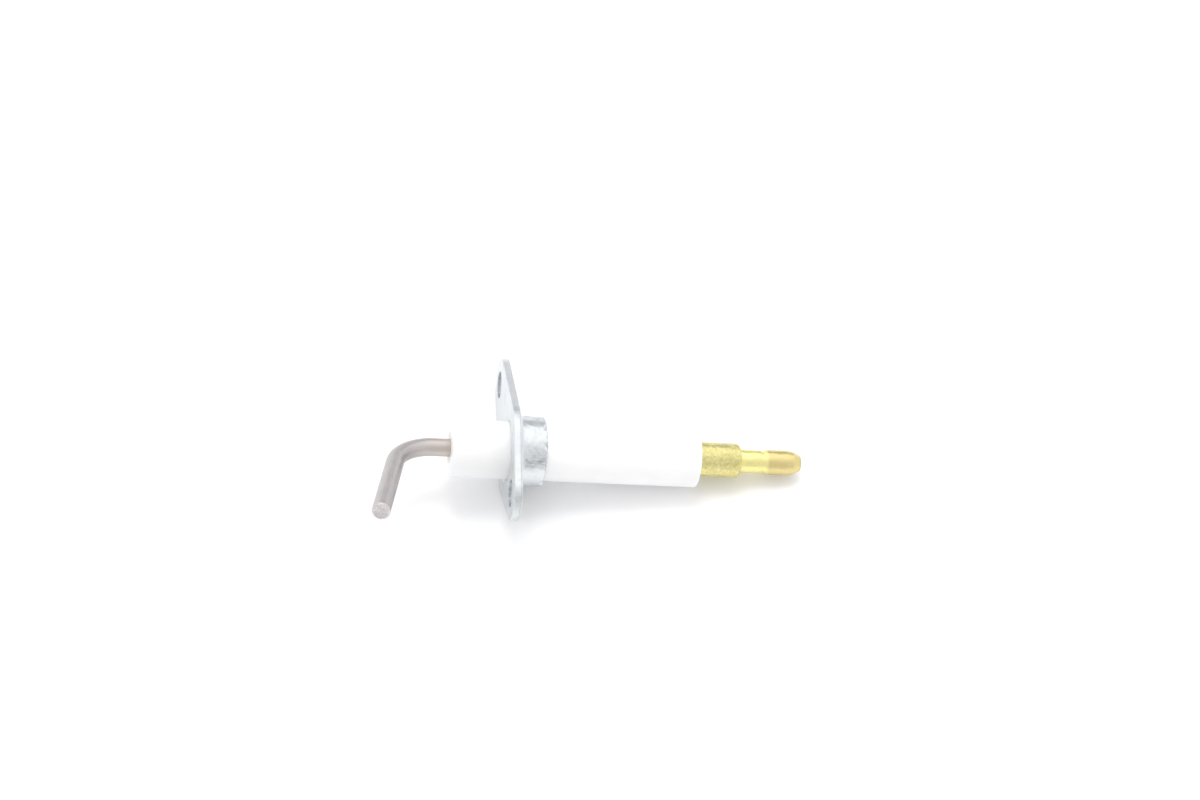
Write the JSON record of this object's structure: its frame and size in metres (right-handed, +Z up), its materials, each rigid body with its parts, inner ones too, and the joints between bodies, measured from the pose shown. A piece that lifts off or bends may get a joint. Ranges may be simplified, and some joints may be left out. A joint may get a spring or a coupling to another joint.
{
  "type": "flame sensor probe",
  "caption": "Bent metal electrode in a white ceramic tube, with a crimped two-eared steel mounting flange and a turned brass push-on terminal.",
  "frame": {"origin": "on the probe's axis, in the plane of the flange's mounting face, where the axis passes through the burner's opening", "axes": "+X along the probe's axis from the flame end to the terminal; +Z is up as the probe lies on a table on one straight side of its flange; the flange's long ear points to +Y and 15 degrees below it"},
  "size_m": [0.0737, 0.0391, 0.0214],
  "materials": {
    "rod_alloy": "dull grey drawn heat-resistant alloy",
    "white_ceramic": "smooth white fired alumina, satin",
    "seal_cement": "matt grainy cement",
    "zinc_steel": "bright zinc plate with a faint blue passivation",
    "terminal_brass": "turned and tumbled brass, satin"
  },
  "bodies": {
    "root": {"electrode_rod": "rod_alloy", "ceramic_insulator": "white_ceramic", "front_seal": "seal_cement", "rear_seal": "seal_cement", "mounting_flange": "zinc_steel", "terminal_pin": "terminal_brass"}
  },
  "joints": []
}
